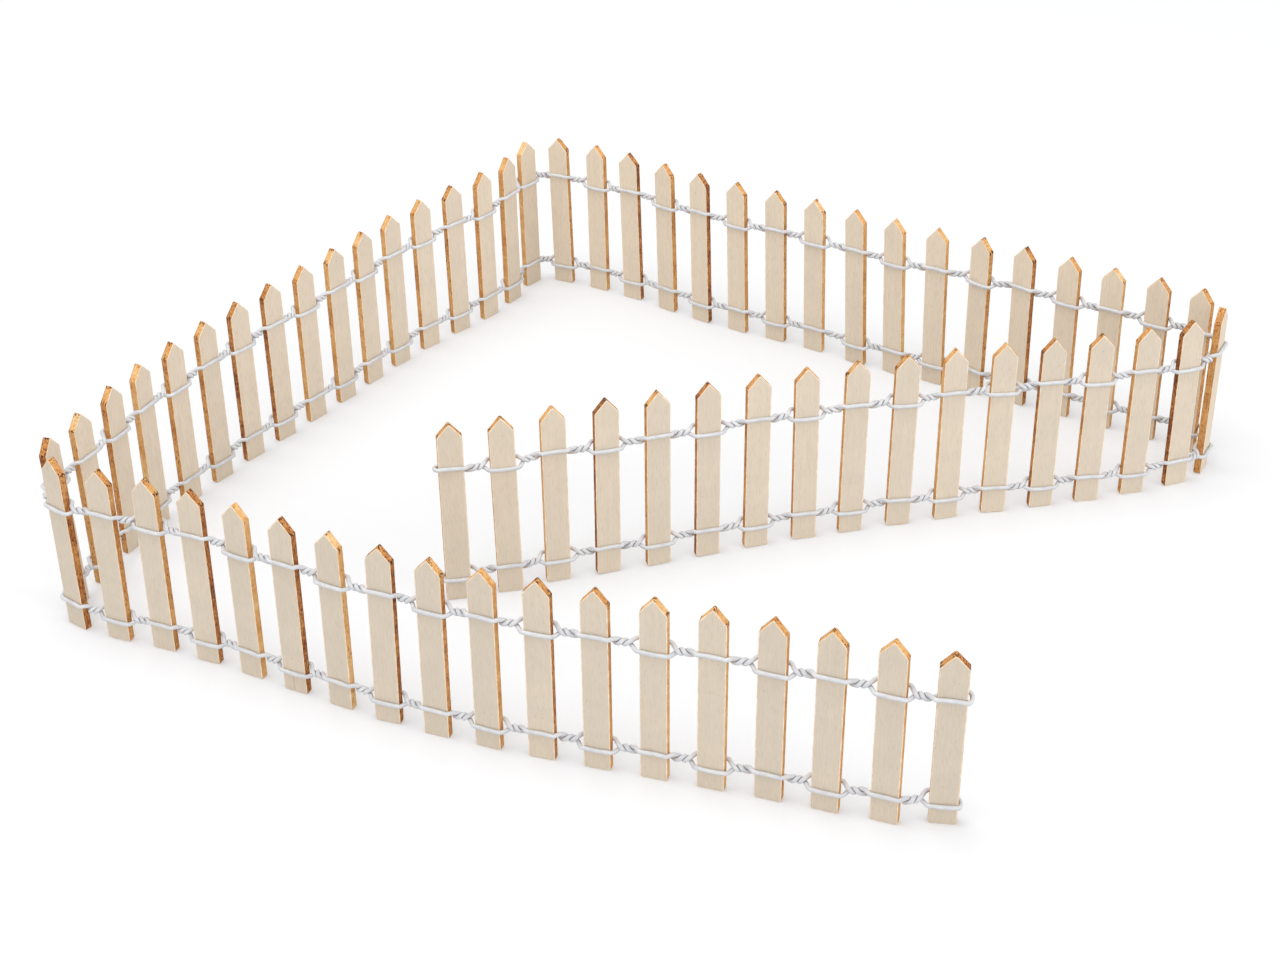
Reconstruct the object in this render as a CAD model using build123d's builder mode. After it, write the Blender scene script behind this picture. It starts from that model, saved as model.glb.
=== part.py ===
from build123d import *
from math import cos, pi, sin
from numpy import interp
import os

# Miniature flexible picket fence, millimetres, +Z up, seen along +Y.
# Flat pointed slats are held by two rails, each a pair of wires twisted between the slats.
# The fence stands on its feet, bent into an open zigzag of four runs.
# The origin is on the ground, at the middle of the footprint.

# Slat: a flat pointed stick
SLAT_HEIGHT = 50.0
SLAT_SHOULDER = 46.2
SLAT_WIDTH = 6.4
SLAT_THICKNESS = 2.0

# Wire: a square section stands for the round paper-covered wire
WIRE = 1.0
PLAY = 0.01
UPPER_RAIL = 36.8
LOWER_RAIL = 6.8
LOOP_RISE = 0.95
END_RISE = 0.1
LOOP_REACH = 0.8
EDGE = SLAT_WIDTH / 2 + PLAY

# Twisted pair between two slats, and how far along the gap its quarter turns come. In a gap
# shorter than the tight one, at a corner, the wires only cross.
TWIST_LENGTH = 6.75
QUARTER_TURNS = (0.24, 0.41, 0.59, 0.76)
TIGHT_GAP = 4
CROSSING = (0.3, 0.7)

# Runs of the fence in their order along the wires. "places" gives the middle of some slats on
# the ground, by slat number, and the others stand evenly between them on one smooth line. The
# headings are those of the line at its two ends. Turn, lean and tip are given in degrees at
# some slats and change evenly between them: a turned slat faces more to the left, a leaning
# one's point lags behind and a tipping one's goes to the right.
RUNS = {
    "front": {
        "slats": 18,
        "places": {
            0: (64.4, 347.7), 1: (51.8, 348.6), 2: (39.1, 352.8), 3: (26.9, 357), 5: (1.7, 365.1),
            7: (-23.8, 373.3), 9: (-48.5, 382.5), 11: (-72, 394.1), 14: (-106.7, 413.3),
            15: (-118.5, 418.9), 17: (-142.2, 429.5),
        },
        "headings": (171, 152),
        "turn": {
            0: 0, 1: -13, 2: 0, 3: -3, 4: -1, 7: 0.5, 8: -3, 9: 1, 10: 6.5, 11: 1, 12: 4, 13: 0,
            14: 5, 15: -2, 16: 4, 17: -9,
        },
        "lean": {0: 0.4, 2: 1.2, 6: 0.9, 8: 1.2, 10: 2.2, 11: 1.7, 14: 1.8, 16: 2.4, 17: 2},
        "tip": {0: -5.8, 1: -1.2, 4: -0.4, 17: -0.2},
    },
    "left": {
        "slats": 17,
        "places": {
            0: (-144.2, 438.3), 1: (-139.9, 450.3), 2: (-135.5, 464), 3: (-130.3, 475.2),
            4: (-123.7, 487), 6: (-109.6, 509.2), 9: (-86.7, 541), 11: (-72.2, 562.3),
            13: (-55.1, 582.5), 14: (-46.5, 591.6), 15: (-39.4, 602.3), 16: (-33.6, 614.1),
        },
        "headings": (72, 52),
        "turn": {
            0: 0, 1: -10, 2: -7, 3: 2, 4: -3, 6: -5, 8: -3, 9: -4, 12: -5, 13: -3, 14: 0, 15: -9,
            16: -4,
        },
        "lean": {0: 0, 3: 0.3, 16: 1.2},
        "tip": {0: 0, 2: 2.2, 16: 1.5},
    },
    "back": {
        "slats": 18,
        "places": {
            0: (-22.8, 615), 2: (-0.4, 601.7), 3: (10.4, 593), 5: (31.9, 577.7),
            7: (54.4, 564.1), 8: (66.3, 555.3), 11: (98.8, 535.9), 13: (121.5, 521.7),
            15: (143.2, 507.8), 16: (153.2, 500.9), 17: (155.1, 489.9),
        },
        "headings": (-26, -120),
        "turn": {
            0: 0, 1: -2.5, 2: 5, 3: -2, 5: -5, 6: -2, 7: -0.5, 8: -4, 9: -8.5, 10: -5, 11: -15.5,
            12: -12.5, 13: -5, 14: 0, 15: -6.5, 16: 4, 17: 0,
        },
        "lean": {0: 0.2, 1: -0.4, 2: 0.5, 7: 0.8, 8: 1.9, 9: 1.8, 10: 1, 11: -0.2, 12: 0.5, 17: 0.4},
        "tip": {0: 0.4, 17: 0},
    },
    "middle": {
        "slats": 16,
        "places": {
            0: (146.1, 482.9), 2: (120.4, 475.7), 3: (107.6, 473.5), 7: (55.3, 463.6),
            8: (42.8, 460.9), 10: (17, 454.1), 11: (4.2, 450.5), 12: (-8.8, 447.3),
            13: (-21.7, 444.3), 14: (-33.8, 440.1), 15: (-46.9, 437.3),
        },
        "headings": (198, 190),
        "turn": {
            0: 0, 1: -5.5, 2: -5, 3: 0, 4: -5.5, 5: 1.5, 6: -4, 7: 0, 8: -3, 9: 0, 10: 0, 11: 3.5,
            12: 5, 13: -2, 14: -8.5, 15: 0,
        },
        "lean": {0: 0, 1: 0.8, 4: 1.2, 7: 2, 8: 1, 9: 1.8, 12: 1.8, 13: 1.2, 14: 0.3, 15: 1},
        "tip": {0: 0.6, 4: 2.4, 15: 3.3},
    },
}
MIDDLE_OF_FOOTPRINT = (5.74, 479.81)
SLATS_IN_A_NODE = {"front": 3, "left": 3, "back": 3, "middle": 4}


def at_number(number, values):
    """A value at a slat, evenly between those that are given by slat number."""
    return float(interp(number, list(values), list(values.values())))


def slat_planes(run):
    """Planes of a run's slats: x along the fence, y up the slat, z out of its right-hand face."""
    start, end = (Vector(1, 0).rotate(Axis.Z, angle) for angle in run["headings"])
    places = run["places"]
    route = Spline(*places.values(), tangents=(start, end))
    shares = {number: route.param_at_point(Vector(*place)) for number, place in places.items()}
    planes = []
    for number in range(run["slats"]):
        share = at_number(number, shares)
        turn = at_number(number, run["turn"])
        lean = at_number(number, run["lean"])
        tip = at_number(number, run["tip"])
        heading = (route % share).rotate(Axis.Z, turn)
        right = heading.cross(Vector(0, 0, 1))
        lift = (SLAT_WIDTH * sin(abs(lean) * pi / 180) + SLAT_THICKNESS * sin(abs(tip) * pi / 180)) / 2
        foot = (route @ share) - Vector(*MIDDLE_OF_FOOTPRINT) + Vector(0, 0, lift)
        upright = Plane(origin=foot, x_dir=heading, z_dir=right)
        planes.append(Plane(upright.location * Location((0, 0, 0), (tip, 0, lean))))
    return planes


def twist_steps(slat, following, side):
    """Share of the gap, and the low strand's place, at each step after a slat that it passes on that side."""
    reach = WIRE / 2 + PLAY
    gap = (following.from_local_coords((-EDGE, 0, 0)) - slat.from_local_coords((EDGE, 0, 0))).length
    if gap < TIGHT_GAP:
        shares, offsets = CROSSING, [(side, -1), (-side, -1)]
    else:
        shares, offsets = QUARTER_TURNS, [(-side, -1), (-side, 1), (side, 1), (side, -1)]
    return [(share, across * reach, rise * reach) for share, (across, rise) in zip(shares, offsets)]


def at_slat(slat, along, rail, across, rise):
    """Section plane of a strand beside a slat."""
    place = slat.from_local_coords((along, rail + rise, across))
    return Plane(origin=place, x_dir=slat.z_dir, z_dir=slat.x_dir)


def in_twist(slat, following, rail, share, across, rise):
    """Section plane of a strand in the twisted pair, part of the way to the following slat."""
    start = slat.from_local_coords((EDGE, rail, 0))
    end = following.from_local_coords((-EDGE, rail, 0))
    handle = min(TWIST_LENGTH, (end - start).length) / 3
    first_handle = start + slat.x_dir * handle
    last_handle = end - following.x_dir * handle
    rest = 1 - share
    middle = (
        start * rest**3
        + first_handle * (3 * rest**2 * share)
        + last_handle * (3 * rest * share**2)
        + end * share**3
    )
    along = (
        (first_handle - start) * rest**2
        + (last_handle - first_handle) * (2 * rest * share)
        + (end - last_handle) * share**2
    ).normalized()
    upward = slat.y_dir * rest + following.y_dir * share
    right = along.cross(upward).normalized()
    upward = right.cross(along)
    return Plane(origin=middle + right * across + upward * rise, x_dir=right, z_dir=along)


def round_the_end(slat, direction, rail, across, rise):
    """Section planes of the loop about a free end, from its middle to the slat's edge."""
    planes = []
    for angle in (90, 45):
        swing = angle * pi / 180
        along = direction * (EDGE + LOOP_REACH * sin(swing))
        share = 1 - angle / 90
        place = slat.from_local_coords((along, rail + rise * share, across * cos(swing)))
        facing = slat.x_dir * cos(swing) - slat.z_dir * (direction * (across / abs(across)) * sin(swing))
        planes.append(Plane(origin=place, x_dir=facing.cross(slat.y_dir), z_dir=facing))
    return planes


os.makedirs("parts", exist_ok=True)
slats = {name: slat_planes(run) for name, run in RUNS.items()}
fence = [plane for run in slats.values() for plane in run]

# Slats, a few to a node
for run_name, planes in slats.items():
    size = SLATS_IN_A_NODE[run_name]
    groups = [planes[first : first + size] for first in range(0, len(planes), size)]
    for number, group in enumerate(groups, 1):
        with BuildPart() as pickets:
            with BuildSketch(*group):
                with BuildLine():
                    Polyline(
                        (-SLAT_WIDTH / 2, 0),
                        (SLAT_WIDTH / 2, 0),
                        (SLAT_WIDTH / 2, SLAT_SHOULDER),
                        (0, SLAT_HEIGHT),
                        (-SLAT_WIDTH / 2, SLAT_SHOULDER),
                        close=True,
                    )
                make_face()
            extrude(amount=SLAT_THICKNESS / 2, both=True)
        pickets.part.label = f"{run_name}_pickets_{number}"
        export_step(pickets.part, f"parts/{pickets.part.label}.step")

# Wires: two strands to a rail, which change sides at every slat
beside_slat = SLAT_THICKNESS / 2 + PLAY + WIRE / 2
first = 0
for run_name, planes in slats.items():
    for rail_name, rail, rail_side in (("upper", UPPER_RAIL, 1), ("lower", LOWER_RAIL, -1)):
        for strand_name, level in (("low", -1), ("high", 1)):
            sections = []
            end_loop = []
            for index in range(first, first + len(planes)):
                slat = fence[index]
                low_side = rail_side if index % 2 == 0 else -rail_side
                across = -level * low_side * beside_slat
                rise = level * LOOP_RISE
                end_rise = level * END_RISE
                if index == 0:
                    sections.append(at_slat(slat, -EDGE, rail, across, end_rise))
                    end_loop = [*round_the_end(slat, -1, rail, across, end_rise), sections[-1]]
                else:
                    sections.append(at_slat(slat, -EDGE, rail, across, rise))
                if index == len(fence) - 1:
                    sections.append(at_slat(slat, EDGE, rail, across, end_rise))
                    end_loop = [*round_the_end(slat, 1, rail, across, end_rise), sections[-1]]
                    break
                sections.append(at_slat(slat, EDGE, rail, across, rise))
                following = fence[index + 1]
                for share, low_across, low_rise in twist_steps(slat, following, low_side):
                    sections.append(
                        in_twist(slat, following, rail, share, -level * low_across, -level * low_rise)
                    )
                if index == first + len(planes) - 1:
                    sections.append(at_slat(following, -EDGE, rail, -across, rise))
            with BuildPart() as strand:
                for stretch in filter(None, (sections, end_loop)):
                    for section in stretch:
                        with BuildSketch(section):
                            Rectangle(WIRE, WIRE)
                    loft(ruled=True)
            strand.part.label = f"{run_name}_{rail_name}_rail_{strand_name}_strand"
            export_step(strand.part, f"parts/{strand.part.label}.step")
    first += len(planes)
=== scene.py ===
"""The looks of a miniature flexible picket fence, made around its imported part.

Pale flat slats with scorched cut edges are held by two rails of twisted paper-covered wire.
Lengths are in millimetres, and are scaled to metres where a mesh is made. The floor and the
lamps are in metres.
"""

from collections import namedtuple
from math import atan2, ceil, cos, pi, radians, sin, tau
from random import Random

import bmesh
import bpy
import numpy as np
from mathutils import Matrix, Vector, noise


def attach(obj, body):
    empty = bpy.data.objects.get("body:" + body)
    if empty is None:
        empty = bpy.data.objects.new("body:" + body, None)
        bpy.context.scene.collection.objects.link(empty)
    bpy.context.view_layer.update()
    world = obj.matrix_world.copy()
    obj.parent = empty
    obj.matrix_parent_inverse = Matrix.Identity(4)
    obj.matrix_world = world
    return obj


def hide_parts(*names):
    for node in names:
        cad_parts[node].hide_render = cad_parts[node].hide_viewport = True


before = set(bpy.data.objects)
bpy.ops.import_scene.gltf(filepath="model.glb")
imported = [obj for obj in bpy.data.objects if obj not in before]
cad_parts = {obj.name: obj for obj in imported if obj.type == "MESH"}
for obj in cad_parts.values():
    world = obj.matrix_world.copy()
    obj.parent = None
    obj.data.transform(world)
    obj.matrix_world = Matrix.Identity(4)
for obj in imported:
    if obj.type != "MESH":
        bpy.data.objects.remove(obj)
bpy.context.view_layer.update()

MM = 0.001
RUNS = ("front", "left", "back", "middle")

# Camera of the photograph: focal length in pixels of the 1280 wide image, angles in degrees
IMAGE_WIDTH = 1280
FOCAL_PIXELS = 2091.66
PITCH = 32.23
ROLL = -1.454
EYE = Vector((-5.74, -479.81, 309.65))
SENSOR = 36
CLIP_START = 0.01

# Light: the floor's reach and colour, what the camera sees it glow, the room's even light, and
# the lamps, each with its name, place, size and power. Colours in this script are as a screen
# shows them, from 0 to 255.
FLOOR_REACH = 6
FLOOR_COLOUR = (208, 209, 211)
FLOOR_GLOW = 0.235
ROOM_LIGHT = 0.74
LAMPS = (
    ("overhead", (-0.35, -0.1, 1.5), 1.1, 11),
    ("front", (-0.6, -4.4, 2.0), 3.6, 48),
    ("right", (3.2, -1.7, 1.6), 2.4, 42),
)

# Slat's outline: the roundings of its corners, the span of factors that each varies by, how far
# a shoulder may lie higher or lower, the points of a rounding, and the step between points
FOOT_RADIUS = 0.5
FOOT_VARIETY = (0.6, 1.3)
SHOULDER_RADIUS = 0.42
SHOULDER_VARIETY = (0.6, 1.4)
SHOULDER_SHIFT = 0.15
POINT_RADIUS = 0.34
POINT_VARIETY = (0.6, 1.6)
LEAST_RADIUS = 0.06
ARC_POINTS = 5
OUTLINE_STEP = 1.1

# Slat's rings: how far its arrises are eased and how much they bow, how far in its face's rim
# ends, and where on the half thickness the ring of its cut edge lies
ARRIS = 0.13
ARRIS_BOW = 0.3
RIM = 0.5
EDGE_RING = 0.4
SLAT_SHARP = radians(35)

# Wear of a slat's outline: its depth, its pace along the width, height and thickness, and how
# far apart two slats read it
WEAR = 0.06
WEAR_PACE = (0.9, 0.35, 0.3)
WEAR_SPREAD = 40

# How scorched a slat's cut edges are, and the slats, by their number in a run, that are darker
# or lighter than that
LOOKS_SEED = 7
SCORCH = (0.42, 0.6)
DARKER = 0.3
LIGHTER = 0.2
DARK = {
    "front": (0, 7, 10, 12, 14, 17),
    "left": (0, 6, 7),
    "back": (2, 4, 12),
    "middle": (0, 3, 10, 12),
}
LIGHT = {
    "front": (4, 5, 11, 13),
    "left": (1, 3, 11, 16),
    "back": (7, 9, 10, 14),
    "middle": (4, 5, 13),
}

# The slat whose foot is split, by its run and number, and how far up
SPLIT = ("front", 12, 5.2)

# How far the wood of each run's slats is from greyish to light and warm, and how a slat varies.
# This is partly painted light: the left and back runs, which the lamps light less, are made
# lighter.
TONE_AND_LIGHT = {"front": 0.15, "left": 0.5, "back": 0.95, "middle": 0.15}
TONE_SPREAD = 0.15

# Heights on a slat: where its foot's tint has faded, its shoulder, and the two heights between
# which its slope starts and between which the spots by its point start
FOOT_TINT_TOP = 12.0
SHOULDER = 46.3
SLOPE_START = (46.4, 46.9)
POINT_START = (48.7, 49.6)

# Wood: colours of the face, of the painted highlight on the rim about it, and of the cut edge from
# light to charred
GREYISH_FACE = (216, 203, 185)
WARM_FACE = (233, 217, 195)
FOOT_TINT = (221, 205, 180)
GRAIN_TINT = (206, 191, 170)
FLECK_TINT = (192, 176, 157)
SPLIT_TINT = (150, 96, 58)
KNOT_TINT = (170, 128, 92)
CREAM_RIM_HIGHLIGHT = (250, 236, 213)
TAN_RIM_HIGHLIGHT = (236, 206, 169)
CUT_EDGE = (
    (0.0, (234, 200, 150)),
    (0.25, (221, 170, 108)),
    (0.5, (199, 140, 80)),
    (0.75, (158, 93, 46)),
    (1.0, (66, 38, 26)),
)

# Wood: how finely each noise runs along a slat's width, height and thickness
FLECK_PACE = (4.6, 0.45, 4.6)
GRAIN_PACE = (3.0, 0.05, 3.0)
KNOT_PACE = (1.0, 0.6, 1.0)
STREAK_PACE = (1.2, 0.5, 2.6)
SPECKLE_PACE = (2.6, 1.1, 2.6)

# Paper: its colours, among them a painted shade for soft patches and a painted shade for the
# grooves of a twist, how finely its creases run round and along a wire, and its winding's step
WHITE_PAPER = (214, 215, 217)
SHADED_PAPER = (200, 201, 205)
CREASE_TINT = (199, 200, 203)
SEAM_TINT = (192, 193, 195)
SPECK_TINT = (158, 92, 96)
GROOVE_SHADE = (132, 134, 138)
CREASE_PACE = (0.8, 0.8, 2.0)
WINDING = 3.1

# Wire beside a slat: its radius, its gap to the wood, the rails' heights, how far a strand lies
# above or below its rail, and how it bellies there
WIRE_RADIUS = 0.53
SLACK = 0.03
UPPER_RAIL = 36.8
LOWER_RAIL = 6.8
LOOP_RISE = 0.95
BELLY = 0.16
BELLY_VARIETY = (0.4, 1.3)

# Twisted pair between two slats: how far it runs straight on from a slat, its turn, a strand's
# reach from the pair's middle, how evenly it turns, the share in which it closes up at each end,
# and how far its turning leans to one end
TWIST_HANDLE = 2.25
TWIST_TURN = radians(477)
TWIST_REACH = 0.47
TWIST_TIGHTNESS = 0.8
TIGHTNESS_VARIETY = (0.85, 1.1)
PARTING = 0.3
PARTING_VARIETY = (0.85, 1.15)
LEAN = 0.04

# The same in a gap so tight that the strands only cross
TIGHT_GAP = 4
TIGHT_HANDLE = 0.2
TIGHT_PARTING = 0.2
CROSSING_TURN = radians(117)

# Each rail's loop about the fence's first and last slat: how far it reaches past the slat, how
# far the pair's middle has moved up there, and the strands' rise from it. They close up there,
# and have changed places where the rise is below 0.
END_LOOPS = {
    "upper": {"first": (0.85, 0.82, -0.15), "last": (0.95, 0.78, 0.33)},
    "lower": {"first": (0.45, -1.15, -0.2), "last": (0.8, -0.7, 0.2)},
}

# Wire's mesh: its sides and stations, and how many stations off and how far the other strand
# is looked for
TUBE_SIDES = 10
STATIONS_ON_SLAT = 6
STATIONS_IN_GAP = 26
STATIONS_IN_LOOP = 6
WIRE_SHARP = radians(60)
PARTNER_STATIONS = 4
FAR_OFF = 2


Slat = namedtuple("Slat", "node foot along up out width height shoulder thickness")


def solids_of(mesh):
    """Corner points of each loose solid in a mesh, in millimetres."""
    bm = bmesh.new()
    bm.from_mesh(mesh)
    bmesh.ops.remove_doubles(bm, verts=bm.verts, dist=MM / 100)
    solids = []
    for vert in bm.verts:
        if vert.tag:
            continue
        vert.tag = True
        waiting, found = [vert], []
        while waiting:
            reached = waiting.pop()
            found.append(reached.co / MM)
            for edge in reached.link_edges:
                other = edge.other_vert(reached)
                if not other.tag:
                    other.tag = True
                    waiting.append(other)
        solids.append(np.array(found))
    bm.free()
    return solids


def read_slat(node, points):
    """A slat's size and axes, from its ten corners: its longest axis is up, its shortest is out."""
    centre = points.mean(axis=0)
    _, _, axes = np.linalg.svd(points - centre)
    up, along, out = (Vector(axis) for axis in axes)
    if up.z < 0:
        up.negate()
    local = (points - centre) @ np.array([along, up, out]).T
    low, high = local.min(axis=0), local.max(axis=0)
    full_width = local[abs(local[:, 0]) > high[0] * 0.9]
    return Slat(
        node=node,
        foot=Vector(centre) + up * low[1],
        along=along,
        up=up,
        out=out,
        width=high[0] - low[0],
        height=high[1] - low[1],
        shoulder=full_width[:, 1].max() - low[1],
        thickness=high[2] - low[2],
    )


def read_fence():
    """Every slat in order along the fence from its front end, its axis turned along the fence."""
    left = [
        read_slat(name, points)
        for name, node in sorted(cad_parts.items())
        if "pickets" in name
        for points in solids_of(node.data)
    ]
    ordered = [min(left, key=lambda slat: slat.foot.y)]
    left.remove(ordered[0])
    while left:
        ordered.append(min(left, key=lambda slat: (slat.foot - ordered[-1].foot).length))
        left.remove(ordered[-1])
    turned = []
    for number, slat in enumerate(ordered):
        following = ordered[min(number + 1, len(ordered) - 1)]
        ahead = following.foot - ordered[max(number - 1, 0)].foot
        along = slat.along if slat.along.dot(ahead) > 0 else -slat.along
        turned.append(slat._replace(along=along, out=along.cross(slat.up)))
    return turned


def at(slat, along, up, out):
    """A point given in a slat's own axes, from the middle of its foot."""
    return slat.foot + slat.along * along + slat.up * up + slat.out * out


def link(name, mesh):
    """A new object for a mesh, in the scene."""
    piece = bpy.data.objects.new(name, mesh)
    bpy.context.scene.collection.objects.link(piece)
    return piece


def set_attribute(mesh, name, kind, values):
    """Stores one value a vertex under a name that a material reads."""
    field = "vector" if kind == "FLOAT_VECTOR" else "value"
    attribute = mesh.attributes.new(name, kind, "POINT")
    attribute.data.foreach_set(field, np.array(values, np.float32).ravel())


# A point of a slat's outline and its outward direction, and on a rounded corner also that
# corner, the way from it to the centre of a rounding of radius 1, and the rounding's radius
Spot = namedtuple("Spot", "point outward corner inward radius", defaults=(None, None, 0))


def inset_spot(spot, inset):
    """Where a point of the outline lies when the outline moves in and keeps its corners round."""
    if spot.corner is None:
        return spot.point - spot.outward * inset
    radius = max(spot.radius, inset + LEAST_RADIUS)
    return spot.corner + spot.inward * radius + spot.outward * (radius - inset)


def mirrored(spot):
    """The same point on the other side of the slat."""
    flip = Matrix(((-1, 0), (0, 1)))
    corner = None if spot.corner is None else flip @ spot.corner
    inward = None if spot.inward is None else flip @ spot.inward
    return Spot(flip @ spot.point, flip @ spot.outward, corner, inward, spot.radius)


def slat_outline(slat, random):
    """A slat's outline, from the middle of its foot up its right side to its point, and back down
    its left side. Only the half up to the point's middle is worked out, and then mirrored."""
    half = slat.width / 2
    shoulder = slat.shoulder + random.uniform(-SHOULDER_SHIFT, SHOULDER_SHIFT)
    foot = Vector((0, 0))
    point = Vector((0, slat.height))
    corners = [
        (Vector((half, 0)), FOOT_RADIUS * random.uniform(*FOOT_VARIETY)),
        (Vector((half, shoulder)), SHOULDER_RADIUS * random.uniform(*SHOULDER_VARIETY)),
        (point, POINT_RADIUS * random.uniform(*POINT_VARIETY)),
    ]
    left_shoulder = Vector((-half, shoulder))
    stops = [foot] + [corner for corner, _ in corners] + [left_shoulder]
    outline = [Spot(foot, Vector((0, -1)))]
    for number, (corner, radius) in enumerate(corners, 1):
        before = (corner - stops[number - 1]).normalized()
        after = (stops[number + 1] - corner).normalized()
        turn = before.angle(after)
        normal = Vector((before.y, -before.x))
        start = corner - before * radius * np.tan(turn / 2)
        centre = start - normal * radius
        inward = (centre - corner) / radius
        last = outline[-1].point
        steps = ceil((start - last).length / OUTLINE_STEP)
        outline += [Spot(last.lerp(start, step / steps), normal) for step in range(1, steps)]
        first_angle = atan2(normal.y, normal.x)
        arc_points = ARC_POINTS // 2 + 1 if corner is point else ARC_POINTS
        for step in range(arc_points):
            angle = first_angle + turn * step / (ARC_POINTS - 1)
            outward = Vector((cos(angle), sin(angle)))
            outline.append(Spot(centre + outward * radius, outward, corner, inward, radius))
    return outline + [mirrored(spot) for spot in reversed(outline[1:-1])]


def slat_rings(thickness):
    """Each ring of a slat's mesh, from one face to the other: how far in from the outline it
    lies, and where across the thickness."""
    half = thickness / 2
    front = [
        (RIM, half),
        (ARRIS, half),
        (ARRIS * ARRIS_BOW, half - ARRIS * ARRIS_BOW),
        (0, half - ARRIS),
        (0, half * EDGE_RING),
    ]
    return front + [(inset, -place) for inset, place in reversed(front)]


def across_face(first, count, above_foot):
    """Faces that fill a ring of vertices: one along the foot, and the others each across to the
    ring's mirrored side, from the first vertex above the foot up."""
    middle = count // 2
    faces = [tuple(first + step % count for step in range(-above_foot, above_foot + 1))]
    for step in range(above_foot, middle - 1):
        right, left = first + step, first + count - step
        faces.append((right, right + 1, left - 1, left))
    faces.append((first + middle - 1, first + middle, first + middle + 1))
    return faces


def wear(x, y, across, seed):
    """How far a slat is worn back at a place of its outline."""
    x_pace, y_pace, across_pace = WEAR_PACE
    place = Vector((x * x_pace, y * y_pace, seed * WEAR_SPREAD + across * across_pace))
    return abs(noise.noise(place)) * WEAR


def add_slats(name, slats, looks, splits, material):
    """One piece with some slats of the fence, which stands for their node."""
    random = Random(name)
    places, verts, faces, depths, look_values, split_values = [], [], [], [], [], []
    for slat, look, split in zip(slats, looks, splits):
        outline = slat_outline(slat, random)
        count = len(outline)
        rounded = (number for number, spot in enumerate(outline) if spot.corner is not None)
        above_foot = next(rounded) + 1
        rings = slat_rings(slat.thickness)
        # Which way across a slat is away from the camera, where the material paints a line of shade
        # at the far arris
        away = -1 if slat.node.startswith(("left", "back")) else 1
        base = len(verts)
        for inset, across in rings:
            for spot in outline:
                worn = wear(*spot.point, across, look[2]) if inset < RIM else 0
                x, y = inset_spot(spot, inset + worn)
                places.append((x, y, across * away))
                verts.append(at(slat, x, y, across) * MM)
                depths.append(inset)
                look_values.append(look)
                split_values.append(split)
        for ring in range(len(rings) - 1):
            for step in range(count):
                a = base + ring * count + step
                b = base + ring * count + (step + 1) % count
                faces.append((a, a + count, b + count, b))
        faces += across_face(base, count, above_foot)
        far_ring = base + (len(rings) - 1) * count
        faces += [face[::-1] for face in across_face(far_ring, count, above_foot)]
    mesh = bpy.data.meshes.new(name)
    mesh.from_pydata(verts, [], faces)
    set_attribute(mesh, "slat_place", "FLOAT_VECTOR", places)
    set_attribute(mesh, "slat_look", "FLOAT_VECTOR", look_values)
    set_attribute(mesh, "slat_depth", "FLOAT", depths)
    set_attribute(mesh, "slat_split", "FLOAT", split_values)
    mesh.shade_smooth()
    mesh.set_sharp_from_angle(angle=SLAT_SHARP)
    mesh.materials.append(material)
    piece = link(name, mesh)
    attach(piece, "root")
    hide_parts(slats[0].node)


def smooth(value):
    """Eases a value from 0 to 1."""
    value = min(max(value, 0), 1)
    return value * value * (3 - 2 * value)


# A station of a rail: the middle of its pair of wires, the directions to the right and up
# there, and the low strand's place on them. The high strand's place is the opposite one.
Station = namedtuple("Station", "middle right up across rise")


def slat_stations(slat, height, side, random, first=(0, LOOP_RISE), last=(0, LOOP_RISE)):
    """Stations where a rail passes a slat, with the low strand on the given side. First and last
    are the lift of the pair's middle and the strands' rise from it at the slat's two edges."""
    half = slat.width / 2
    beside = slat.thickness / 2 + WIRE_RADIUS + SLACK
    belly = BELLY * random.uniform(*BELLY_VARIETY)
    stations = []
    for step in range(STATIONS_ON_SLAT):
        share = step / (STATIONS_ON_SLAT - 1)
        bow = 4 * share * (1 - share)
        lift = first[0] + (last[0] - first[0]) * smooth(share)
        rise = first[1] + (last[1] - first[1]) * smooth(share)
        stations.append(
            Station(
                middle=at(slat, -half + slat.width * share, height + lift, 0),
                right=slat.out,
                up=slat.up,
                across=side * beside,
                rise=-rise - belly * (bow - 0.5),
            )
        )
    return stations


def gap_stations(slat, following, height, first, last, random):
    """Stations of the twisted pair between two slats, from the edge of one to the next one's."""
    start, end = first.middle, last.middle
    gap = (end - start).length
    tight = gap < TIGHT_GAP
    handle = TIGHT_HANDLE if tight else min(TWIST_HANDLE, gap / 3)
    first_handle = start + slat.along * handle
    last_handle = end - following.along * handle
    side = 1 if first.across > 0 else -1
    first_angle = atan2(first.rise, first.across)
    last_angle = atan2(last.rise, last.across)
    turn = -side * (CROSSING_TURN if tight else TWIST_TURN)
    turn += (last_angle - first_angle - turn + pi) % tau - pi
    tightness = TWIST_TIGHTNESS * random.uniform(*TIGHTNESS_VARIETY)
    parting = TIGHT_PARTING if tight else PARTING * random.uniform(*PARTING_VARIETY)
    lean = random.uniform(-LEAN, LEAN)
    open_reach = Vector((first.across, first.rise)).length
    stations = []
    for step in range(1, STATIONS_IN_GAP):
        share = step / STATIONS_IN_GAP
        rest = 1 - share
        middle = (
            start * rest**3
            + first_handle * (3 * rest**2 * share)
            + last_handle * (3 * rest * share**2)
            + end * share**3
        )
        along = (
            (first_handle - start) * rest**2
            + (last_handle - first_handle) * (2 * rest * share)
            + (end - last_handle) * share**2
        ).normalized()
        right = along.cross(slat.up.lerp(following.up, share)).normalized()
        moved = share + lean * sin(pi * share)
        angle = first_angle + turn * (moved - tightness * sin(tau * moved) / tau)
        closed = smooth(moved / parting) * smooth((1 - moved) / parting)
        reach = open_reach + (TWIST_REACH - open_reach) * closed
        stations.append(
            Station(middle, right, right.cross(along), reach * cos(angle), reach * sin(angle))
        )
    return stations


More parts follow.
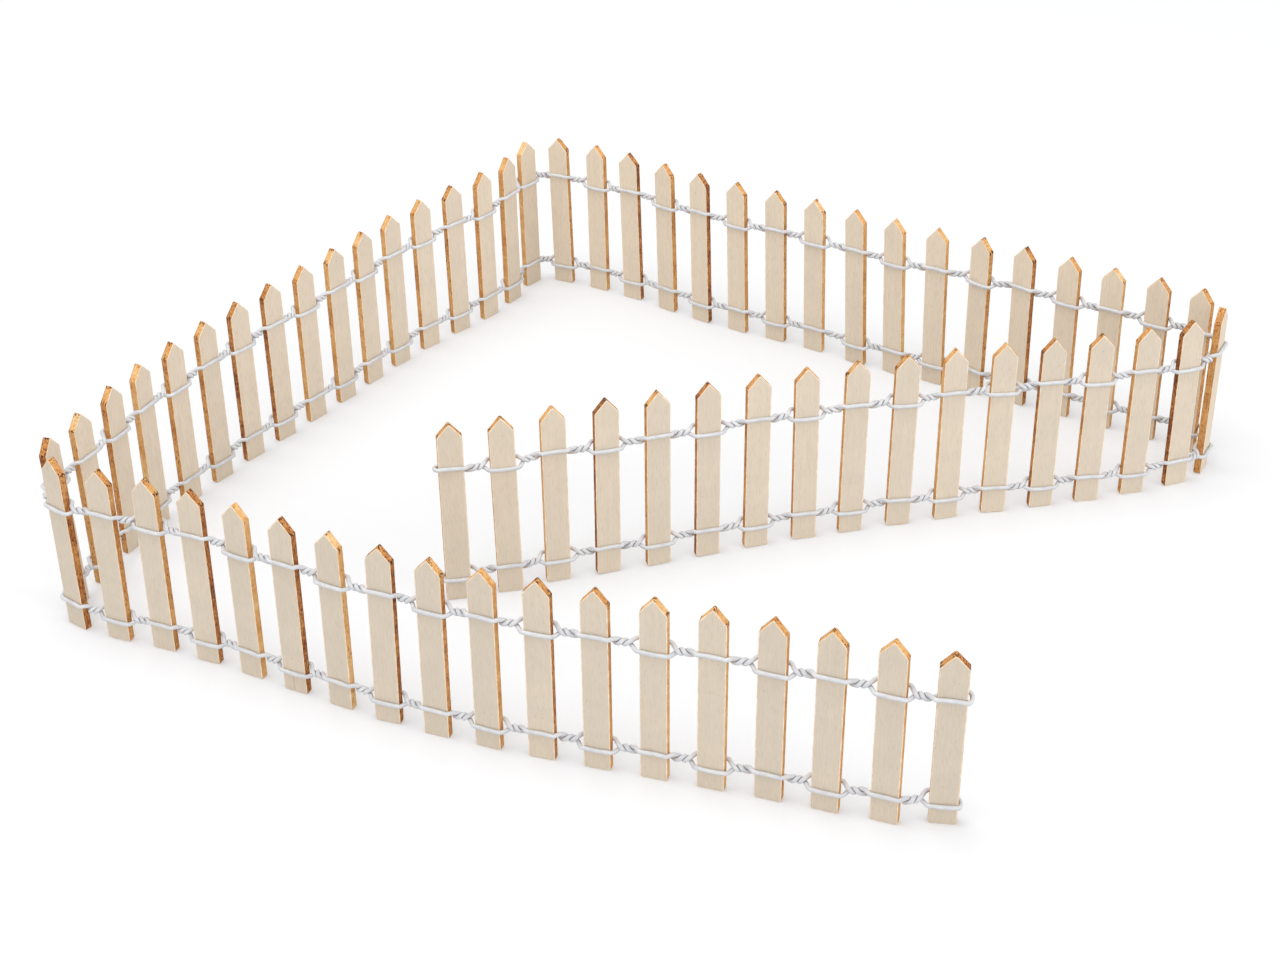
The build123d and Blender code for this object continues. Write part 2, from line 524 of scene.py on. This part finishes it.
def end_stations(slat, direction, beside, reach):
    """Stations of the loop about a free end, from the slat's edge to the loop's middle."""
    stations = []
    for step in range(1, STATIONS_IN_LOOP + 1):
        swing = pi / 2 * step / STATIONS_IN_LOOP
        middle = beside.middle + slat.along * (direction * reach * sin(swing))
        stations.append(
            Station(middle, slat.out, slat.up, beside.across * cos(swing), beside.rise * cos(swing))
        )
    return stations


def rail_stations(fence, rail_name, height, first_side, random):
    """All stations of a rail, and the number of the first station at each slat."""
    first_reach, *first_loop = END_LOOPS[rail_name]["first"]
    last_reach, *last_loop = END_LOOPS[rail_name]["last"]
    at_slats = []
    for number, slat in enumerate(fence):
        side = first_side if number % 2 == 0 else -first_side
        ends = {}
        if number == 0:
            ends["first"] = first_loop
        if number == len(fence) - 1:
            ends["last"] = last_loop
        at_slats.append(slat_stations(slat, height, side, random, **ends))
    stations = list(reversed(end_stations(fence[0], -1, at_slats[0][0], first_reach)))
    firsts = []
    for number, slat in enumerate(fence):
        firsts.append(len(stations))
        stations += at_slats[number]
        if number < len(fence) - 1:
            following = fence[number + 1]
            stations += gap_stations(
                slat, following, height, at_slats[number][-1], at_slats[number + 1][0], random
            )
    stations += end_stations(fence[-1], 1, at_slats[-1][-1], last_reach)
    return stations, firsts


def tube(points, partners, start_direction, end_direction):
    """A closed round tube along points: its vertices and faces, the place of each vertex on its
    paper, and how far it is from the surface of the partner strand."""
    verts, faces, places, partings = [], [], [], []
    count = len(points)
    normal = start_direction.orthogonal()
    travelled = 0
    for number, point in enumerate(points):
        before = points[max(number - 1, 0)]
        after = points[min(number + 1, count - 1)]
        direction = (after - before).normalized()
        if number == 0:
            direction = start_direction
        if number == count - 1:
            direction = end_direction
        normal = (normal - direction * normal.dot(direction)).normalized()
        across = direction.cross(normal)
        travelled += (point - before).length
        near = partners[max(number - PARTNER_STATIONS, 0) : number + PARTNER_STATIONS + 1]
        near = [partner for partner in near if partner is not None]
        for side in range(TUBE_SIDES):
            angle = tau * side / TUBE_SIDES
            vert = point + (normal * cos(angle) + across * sin(angle)) * WIRE_RADIUS
            verts.append(vert * MM)
            places.append((cos(angle), sin(angle), travelled))
            apart = min(((vert - other).length for other in near), default=FAR_OFF)
            partings.append(apart - WIRE_RADIUS)
    for ring in range(count - 1):
        for side in range(TUBE_SIDES):
            a = ring * TUBE_SIDES + side
            b = ring * TUBE_SIDES + (side + 1) % TUBE_SIDES
            faces.append((a, b, b + TUBE_SIDES, a + TUBE_SIDES))
    last = (count - 1) * TUBE_SIDES
    faces.append(tuple(reversed(range(TUBE_SIDES))))
    faces.append(tuple(last + side for side in range(TUBE_SIDES)))
    return verts, faces, places, partings


def add_strand(name, stations, level, reach, material, node):
    """One strand of a rail over a run, as a round wire that stands for its node. Beside the
    end loops it has no partner, since the strands meet there."""
    first, last = reach
    offsets = [s.right * s.across + s.up * s.rise for s in stations]
    points = [s.middle - offset * level for s, offset in zip(stations, offsets)]
    partners = [s.middle + offset * level for s, offset in zip(stations, offsets)]
    for number in (*range(STATIONS_IN_LOOP + 1), *range(-STATIONS_IN_LOOP - 1, 0)):
        partners[number] = None
    start = (points[first + 1] - points[max(first - 1, 0)]).normalized()
    end = (points[min(last + 1, len(points) - 1)] - points[last - 1]).normalized()
    if first == 0:
        start = stations[0].right * (1 if start.dot(stations[0].right) > 0 else -1)
    if last == len(points) - 1:
        end = stations[last].right * (1 if end.dot(stations[last].right) > 0 else -1)
    span = slice(first, last + 1)
    verts, faces, places, partings = tube(points[span], partners[span], start, end)
    mesh = bpy.data.meshes.new(name)
    mesh.from_pydata(verts, [], faces)
    set_attribute(mesh, "wire_place", "FLOAT_VECTOR", places)
    set_attribute(mesh, "wire_parting", "FLOAT", partings)
    mesh.shade_smooth()
    mesh.set_sharp_from_angle(angle=WIRE_SHARP)
    mesh.materials.append(material)
    piece = link(name, mesh)
    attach(piece, "root")
    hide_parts(node)


def add_rail(fence, rail_name, height, first_side, material):
    """The two strands of a rail, each divided where a run of the fence ends."""
    random = Random(rail_name)
    stations, firsts = rail_stations(fence, rail_name, height, first_side, random)
    bounds = {}
    for number, slat in enumerate(fence):
        run = slat.node.split("_")[0]
        low, high = bounds.get(run, (number, number))
        bounds[run] = (low, number)
    for run, (low, high) in bounds.items():
        first = 0 if low == 0 else firsts[low]
        last = len(stations) - 1 if high == len(fence) - 1 else firsts[high + 1]
        for strand, level in (("low", -1), ("high", 1)):
            add_strand(
                f"{run}_{rail_name}_{strand}_wire",
                stations,
                level,
                (first, last),
                material,
                f"{run}_{rail_name}_rail_{strand}_strand",
            )


def srgb(red, green, blue):
    """A colour as a screen shows it, 0 to 255, as the linear colour that a shader takes."""
    linear = []
    for value in (red, green, blue):
        value /= 255
        linear.append(value / 12.92 if value <= 0.04045 else ((value + 0.055) / 1.055) ** 2.4)
    return (*linear, 1)


class Shader:
    """A node material that is written as a chain of calls."""

    def __init__(self, name):
        self.material = bpy.data.materials.new(name)
        self.material.use_nodes = True
        self.tree = self.material.node_tree
        self.surface = self.tree.nodes["Principled BSDF"]

    def put(self, socket, value):
        """Links a socket to another one, or sets its value."""
        if isinstance(value, bpy.types.NodeSocket):
            self.tree.links.new(value, socket)
        else:
            socket.default_value = value

    def node(self, kind, **settings):
        """A new node with its settings."""
        made = self.tree.nodes.new(kind)
        for name, value in settings.items():
            setattr(made, name, value)
        return made

    def attribute(self, name, output):
        """What a mesh stores for each of its vertices under a name."""
        return self.node("ShaderNodeAttribute", attribute_name=name).outputs[output]

    def math(self, operation, first, second=0.0, clamp=False):
        """Arithmetic on one or two values."""
        made = self.node("ShaderNodeMath", operation=operation, use_clamp=clamp)
        self.put(made.inputs[0], first)
        self.put(made.inputs[1], second)
        return made.outputs[0]

    def vector(self, operation, first, second):
        """Arithmetic on two vectors, part by part."""
        made = self.node("ShaderNodeVectorMath", operation=operation)
        self.put(made.inputs[0], first)
        self.put(made.inputs[1], second)
        return made.outputs[0]

    def split(self, vector):
        """The three parts of a vector."""
        made = self.node("ShaderNodeSeparateXYZ")
        self.put(made.inputs[0], vector)
        return made.outputs

    def join(self, x, y, z):
        """A vector from its three parts."""
        made = self.node("ShaderNodeCombineXYZ")
        for socket, value in zip(made.inputs, (x, y, z)):
            self.put(socket, value)
        return made.outputs[0]

    def noise(self, vector, scale, detail=2.0, rough=0.5):
        """Soft noise, about 0.5 on average."""
        made = self.node("ShaderNodeTexNoise")
        self.put(made.inputs["Vector"], vector)
        made.inputs["Scale"].default_value = scale
        made.inputs["Detail"].default_value = detail
        made.inputs["Roughness"].default_value = rough
        return made.outputs["Fac"]

    def dots(self, vector, scale):
        """The distance to the nearest of many strewn points."""
        made = self.node("ShaderNodeTexVoronoi")
        self.put(made.inputs["Vector"], vector)
        made.inputs["Scale"].default_value = scale
        return made.outputs["Distance"]

    def span(self, value, low, high, to_low=0.0, to_high=1.0, eased=False):
        """Maps a value from one span to another, held at its ends."""
        kind = "SMOOTHSTEP" if eased else "LINEAR"
        made = self.node("ShaderNodeMapRange", interpolation_type=kind)
        for socket, given in zip(made.inputs, (value, low, high, to_low, to_high)):
            self.put(socket, given)
        return made.outputs[0]

    def mix(self, share, first, second):
        """A colour between two, with a share of the second."""
        made = self.node("ShaderNodeMix", data_type="RGBA")
        for socket, given in ((0, share), (6, first), (7, second)):
            self.put(made.inputs[socket], given)
        return made.outputs[2]

    def ramp(self, value, stops):
        """A colour that follows a value, from stops of a place and a screen colour."""
        made = self.node("ShaderNodeValToRGB")
        self.put(made.inputs[0], value)
        elements = made.color_ramp.elements
        while len(elements) < len(stops):
            elements.new(0.5)
        for element, (place, colour) in zip(elements, stops):
            element.position = place
            element.color = srgb(*colour)
        return made.outputs[0]

    def bump(self, height, strength, distance):
        """Lets a height show as relief."""
        made = self.node("ShaderNodeBump")
        made.inputs["Strength"].default_value = strength
        made.inputs["Distance"].default_value = distance
        self.put(made.inputs["Height"], height)
        self.put(self.surface.inputs["Normal"], made.outputs[0])

    def finish(self, colour, roughness, specular):
        """Sets the surface, and gives its material."""
        self.put(self.surface.inputs["Base Color"], colour)
        self.put(self.surface.inputs["Roughness"], roughness)
        self.surface.inputs["Specular IOR Level"].default_value = specular
        return self.material


def slat_wood():
    """Pale bare wood with fine upright grain, a painted cream highlight along its rim, and scorched
    cut edges.
    """
    s = Shader("slat_wood")
    place = s.attribute("slat_place", "Vector")
    tone_and_light, scorch, seed = s.split(s.attribute("slat_look", "Vector"))
    depth = s.attribute("slat_depth", "Fac")
    split = s.attribute("slat_split", "Fac")
    across, height, through = s.split(place)
    offset = s.join(s.math("MULTIPLY", seed, 37.0), s.math("MULTIPLY", seed, 91.0), seed)
    shifted = s.vector("ADD", place, offset)

    # Face: mottled beige, tinted at the foot, with short dark flecks, longer soft streaks along
    # the grain, a few knots, and the split in the one slat that has it
    flecks = s.noise(s.vector("MULTIPLY", shifted, FLECK_PACE), 1.0, 2.0, 0.6)
    grain = s.noise(s.vector("MULTIPLY", shifted, GRAIN_PACE), 1.0, 3.0, 0.6)
    mottle = s.noise(shifted, 0.12, 2.0, 0.5)
    # Partly painted light: a run's tone also makes the slats that the lamps light less lighter
    warmth_and_light = s.math("ADD", tone_and_light, s.span(mottle, 0.3, 0.7, -0.2, 0.2), clamp=True)
    face = s.mix(warmth_and_light, srgb(*GREYISH_FACE), srgb(*WARM_FACE))
    face = s.mix(s.span(height, 0.0, FOOT_TINT_TOP, 0.22, 0.0), face, srgb(*FOOT_TINT))
    face = s.mix(s.span(grain, 0.4, 0.66, 0.0, 0.24), face, srgb(*GRAIN_TINT))
    face = s.mix(s.span(flecks, 0.5, 0.66, 0.0, 0.3), face, srgb(*FLECK_TINT))
    off_split = s.math("ABSOLUTE", s.math("ADD", across, s.span(grain, 0.3, 0.7, -0.5, -0.2)))
    below_split = s.math("LESS_THAN", height, split)
    in_split = s.math("MULTIPLY", s.span(off_split, 0.05, 0.13, 0.9, 0.0), below_split)
    face = s.mix(in_split, face, srgb(*SPLIT_TINT))
    knots = s.dots(s.vector("MULTIPLY", shifted, KNOT_PACE), 0.45)
    face = s.mix(s.span(knots, 0.035, 0.06, 0.6, 0.0), face, srgb(*KNOT_TINT))

    # Cut edge: from light orange to dark brown, in soft streaks, darkest in a thin line of painted
    # shade at its far arris, the one turned away from the camera, and in spots by its corners, and
    # painted a little lighter on the slopes, as a highlight of the light from above
    streaks = s.noise(s.vector("MULTIPLY", shifted, STREAK_PACE), 1.0, 3.0, 0.6)
    blotches = s.noise(shifted, 0.13, 2.0, 0.5)
    speckle = s.noise(s.vector("MULTIPLY", shifted, SPECKLE_PACE), 1.0, 3.0, 0.65)
    lit_slope = s.span(height, *SLOPE_START)
    by_point = s.span(height, *POINT_START)
    off_shoulder = s.math("ABSOLUTE", s.math("SUBTRACT", height, SHOULDER))
    by_shoulder = s.span(off_shoulder, 0.2, 0.9, 1.0, 0.0)
    by_corner = s.math("MAXIMUM", by_point, by_shoulder)
    burn = s.math("ADD", s.math("MULTIPLY", scorch, 0.75), s.span(streaks, 0.3, 0.7, -0.1, 0.12))
    burn = s.math("ADD", burn, s.span(blotches, 0.35, 0.65, -0.12, 0.12))
    # Painted shade: a dark line along the arris that is turned away from the camera
    burn = s.math("ADD", burn, s.span(through, 0.72, 0.98, 0.0, 0.35, eased=True))
    # Painted highlight: the slopes a little lighter, as if lit from above
    burn = s.math("ADD", burn, s.math("MULTIPLY", lit_slope, -0.07))
    charred = s.span(speckle, 0.36, 0.66, -0.16, 0.34)
    burn = s.math("ADD", burn, s.math("MULTIPLY", charred, scorch))
    spotted = s.span(s.math("ADD", speckle, s.math("MULTIPLY", by_corner, 0.13)), 0.6, 0.68)
    spots = s.span(s.math("FRACT", s.math("MULTIPLY", seed, 13.7)), 0.2, 0.8, 0.25, 0.9)
    burn = s.math("ADD", burn, s.math("MULTIPLY", spotted, spots), clamp=True)
    cut = s.ramp(burn, CUT_EDGE)

    # From the arris inwards: the cut edge's colour, then a ragged rim of painted highlight, then
    # the face
    # Painted highlight: a cream to tan line along the arris
    rim_highlight = s.mix(s.span(streaks, 0.35, 0.6), srgb(*CREAM_RIM_HIGHLIGHT), srgb(*TAN_RIM_HIGHLIGHT))
    ragged = s.math("MULTIPLY", depth, s.span(speckle, 0.3, 0.7, 0.7, 1.3))
    colour = s.mix(s.span(ragged, 0.005, 0.04), cut, rim_highlight)
    colour = s.mix(s.span(ragged, 0.17, 0.27), colour, face)

    relief = s.math("ADD", s.math("MULTIPLY", grain, 0.4), s.math("MULTIPLY", flecks, -0.6))
    s.bump(relief, 0.3, 0.05 * MM)
    return s.finish(colour, s.span(flecks, 0.3, 0.7, 0.68, 0.82), 0.2)


def paper_wire():
    """White paper wound about a wire, with faint creases, painted shade in soft patches and in the
    grooves of a twist.
    """
    s = Shader("paper_wire")
    place = s.attribute("wire_place", "Vector")
    parting = s.attribute("wire_parting", "Fac")
    x, y, travelled = s.split(place)
    around = s.math("DIVIDE", s.math("ARCTAN2", y, x), tau)
    wound = s.math("FRACT", s.math("ADD", s.math("DIVIDE", travelled, WINDING), around))
    seam = s.math("ABSOLUTE", s.math("SUBTRACT", wound, 0.5))
    creases = s.noise(s.vector("MULTIPLY", place, CREASE_PACE), 1.0, 3.0, 0.6)
    mottle = s.noise(place, 0.5, 2.0, 0.5)
    # Painted shade: the paper greyed in soft random patches
    colour = s.mix(s.span(mottle, 0.35, 0.7), srgb(*WHITE_PAPER), srgb(*SHADED_PAPER))
    colour = s.mix(s.span(creases, 0.55, 0.75, 0.0, 0.3), colour, srgb(*CREASE_TINT))
    colour = s.mix(s.span(seam, 0.02, 0.05, 0.25, 0.0), colour, srgb(*SEAM_TINT))
    specks = s.dots(place, 0.16)
    colour = s.mix(s.span(specks, 0.02, 0.04, 0.7, 0.0), colour, srgb(*SPECK_TINT))
    # Painted shade: grey in the grooves of a twist, where the strand lies close to its partner
    groove_shade = s.span(parting, 0.0, 0.32, 0.92, 0.0, eased=True)
    colour = s.mix(groove_shade, colour, srgb(*GROOVE_SHADE))
    relief = s.math("ADD", s.math("MULTIPLY", creases, 0.6), s.span(seam, 0.0, 0.06, 0.0, 0.2))
    s.bump(relief, 0.3, 0.03 * MM)
    return s.finish(colour, 0.42, 0.5)


def seen_share(tree):
    """A socket that is 1 for what is seen, also in a mirror or through glass, and 0 for light."""
    rays = tree.nodes.new("ShaderNodeLightPath").outputs
    seen = rays["Is Camera Ray"]
    for kind in ("Is Glossy Ray", "Is Transmission Ray"):
        added = tree.nodes.new("ShaderNodeMath")
        added.operation = "MAXIMUM"
        tree.links.new(seen, added.inputs[0])
        tree.links.new(rays[kind], added.inputs[1])
        seen = added.outputs[0]
    return seen


def floor_white():
    """A plain white floor."""
    s = Shader("floor_white")
    s.surface.inputs["Emission Color"].default_value = (1, 1, 1, 1)
    glow = s.math("MULTIPLY", seen_share(s.tree), FLOOR_GLOW)
    s.put(s.surface.inputs["Emission Strength"], glow)
    return s.finish(srgb(*FLOOR_COLOUR), 0.9, 0.0)


def add_camera():
    """The photograph's camera."""
    pitch, roll = radians(PITCH), radians(ROLL)
    forward = Vector((0, cos(pitch), -sin(pitch)))
    up = Vector((0, sin(pitch), cos(pitch)))
    right = Vector((1, 0, 0))
    data = bpy.data.cameras.new("camera")
    data.sensor_width = SENSOR
    data.lens = SENSOR * FOCAL_PIXELS / IMAGE_WIDTH
    data.clip_start = CLIP_START
    camera = bpy.data.objects.new("camera", data)
    rolled_right = right * cos(roll) + up * sin(roll)
    rolled_up = up * cos(roll) - right * sin(roll)
    camera.matrix_world = Matrix.Translation(EYE * MM) @ (
        Matrix((rolled_right, rolled_up, -forward)).transposed().to_4x4()
    )
    bpy.context.scene.collection.objects.link(camera)
    bpy.context.scene.camera = camera


def add_lamp(name, place, size, power):
    """A soft square lamp that points at the fence's middle."""
    data = bpy.data.lights.new(name, "AREA")
    data.size = size
    data.energy = power
    lamp = bpy.data.objects.new(name, data)
    lamp.location = place
    lamp.rotation_euler = (-Vector(place)).to_track_quat("-Z", "Y").to_euler()
    bpy.context.scene.collection.objects.link(lamp)


def add_studio():
    """The floor, the lamps and the even light of the room."""
    mesh = bpy.data.meshes.new("floor")
    corners = [(-1, -1), (1, -1), (1, 1), (-1, 1)]
    verts = [(x * FLOOR_REACH, y * FLOOR_REACH, 0) for x, y in corners]
    mesh.from_pydata(verts, [], [(0, 1, 2, 3)])
    mesh.materials.append(floor_white())
    link("floor", mesh)
    for lamp in LAMPS:
        add_lamp(*lamp)
    world = bpy.data.worlds.new("room")
    world.use_nodes = True
    tree = world.node_tree
    tree.nodes["Background"].inputs["Color"].default_value = (1, 1, 1, 1)
    strength = tree.nodes.new("ShaderNodeMapRange")
    strength.inputs["To Min"].default_value = ROOM_LIGHT
    strength.inputs["To Max"].default_value = 1
    tree.links.new(seen_share(tree), strength.inputs["Value"])
    tree.links.new(strength.outputs[0], tree.nodes["Background"].inputs["Strength"])
    bpy.context.scene.world = world
    bpy.context.scene.view_settings.view_transform = "Standard"


add_camera()
add_studio()

fence = read_fence()
wood = slat_wood()
paper = paper_wire()
random = Random(LOOKS_SEED)
looks = {slat.node: [] for slat in fence}
splits = {slat.node: [] for slat in fence}
members = {slat.node: [] for slat in fence}
counts = dict.fromkeys(RUNS, 0)
for slat in fence:
    run = slat.node.split("_")[0]
    scorch = random.uniform(*SCORCH)
    if counts[run] in DARK[run]:
        scorch += DARKER
    if counts[run] in LIGHT[run]:
        scorch -= LIGHTER
    # The run's tone is partly painted light, lighter for the runs that the lamps light less
    tone_and_light = TONE_AND_LIGHT[run] + random.uniform(-TONE_SPREAD, TONE_SPREAD)
    looks[slat.node].append((tone_and_light, scorch, random.random()))
    splits[slat.node].append(SPLIT[2] if (run, counts[run]) == SPLIT[:2] else 0)
    members[slat.node].append(slat)
    counts[run] += 1
for node, slats in members.items():
    add_slats(node.replace("pickets", "slats"), slats, looks[node], splits[node], wood)
add_rail(fence, "upper", UPPER_RAIL, 1, paper)
add_rail(fence, "lower", LOWER_RAIL, -1, paper)
